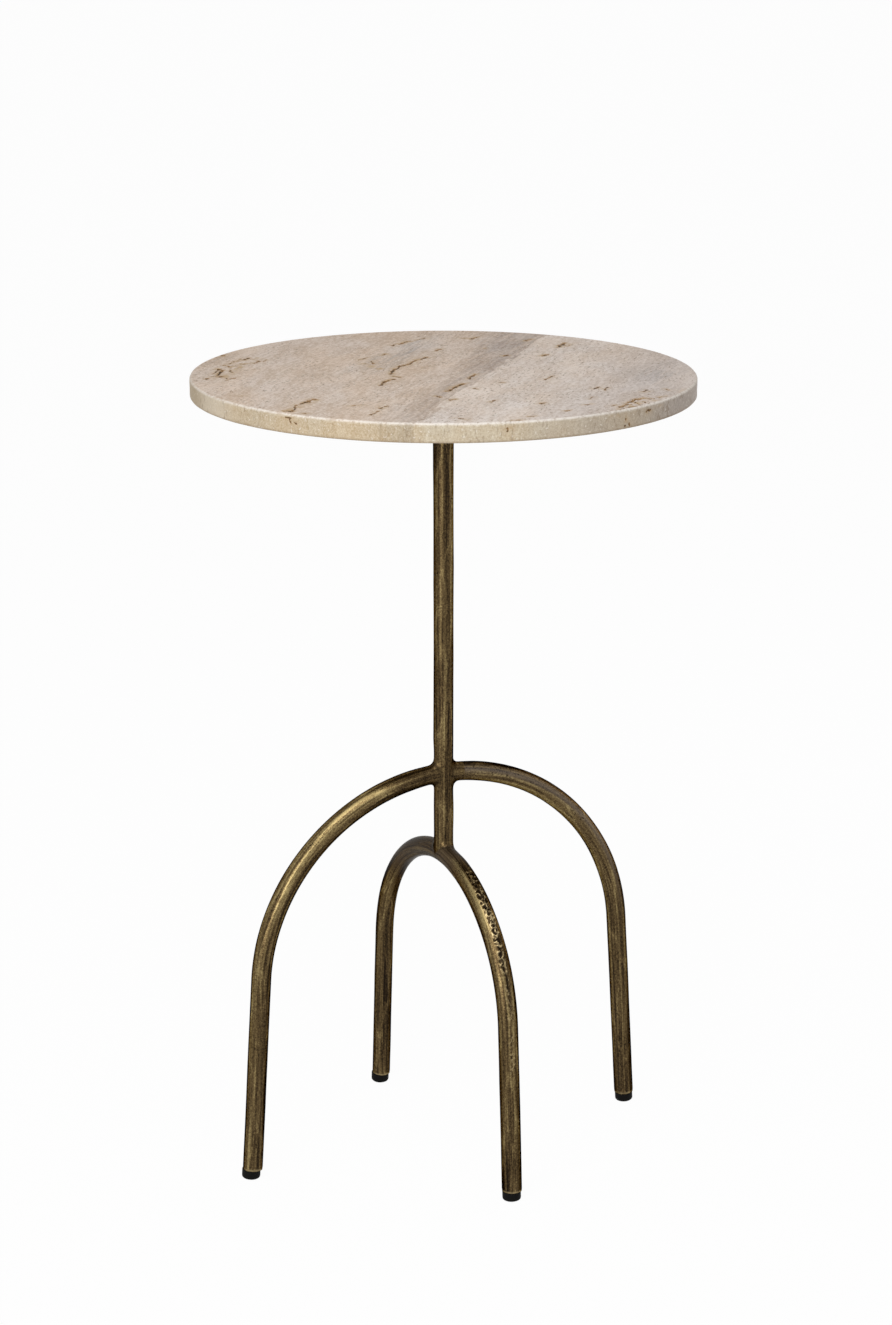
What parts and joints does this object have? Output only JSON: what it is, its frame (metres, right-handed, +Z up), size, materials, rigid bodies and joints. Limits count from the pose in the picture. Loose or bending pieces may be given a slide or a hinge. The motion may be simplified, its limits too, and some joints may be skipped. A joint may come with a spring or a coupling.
{
  "type": "wine table",
  "caption": "Small round side table: a stone slab on a slim tube post, which stands on crossed tube arches with push-in glides.",
  "frame": {"origin": "on the floor, under the middle of the post", "axes": "+Z up, +X along the wide upper arch, +Y along the narrow lower arch"},
  "size_m": [0.3999, 0.4, 0.66],
  "materials": {
    "travertine": "satin",
    "antique_brass": "satin",
    "zinc_steel": "satin",
    "insert_brass": "satin",
    "black_rubber": "matte"
  },
  "bodies": {
    "root": {"stone_top": "travertine", "stone_inserts": "insert_brass", "top_gasket": "black_rubber", "mounting_plate": "antique_brass", "plate_screws": "zinc_steel", "screw_washers": "zinc_steel", "post": "antique_brass", "plate_weld": "antique_brass", "upper_leg_right": "antique_brass", "upper_leg_left": "antique_brass", "upper_weld_right": "antique_brass", "upper_weld_left": "antique_brass", "lower_arch": "antique_brass", "lower_weld": "antique_brass", "foot_right": "black_rubber", "foot_left": "black_rubber", "foot_back": "black_rubber", "foot_front": "black_rubber"}
  },
  "joints": []
}
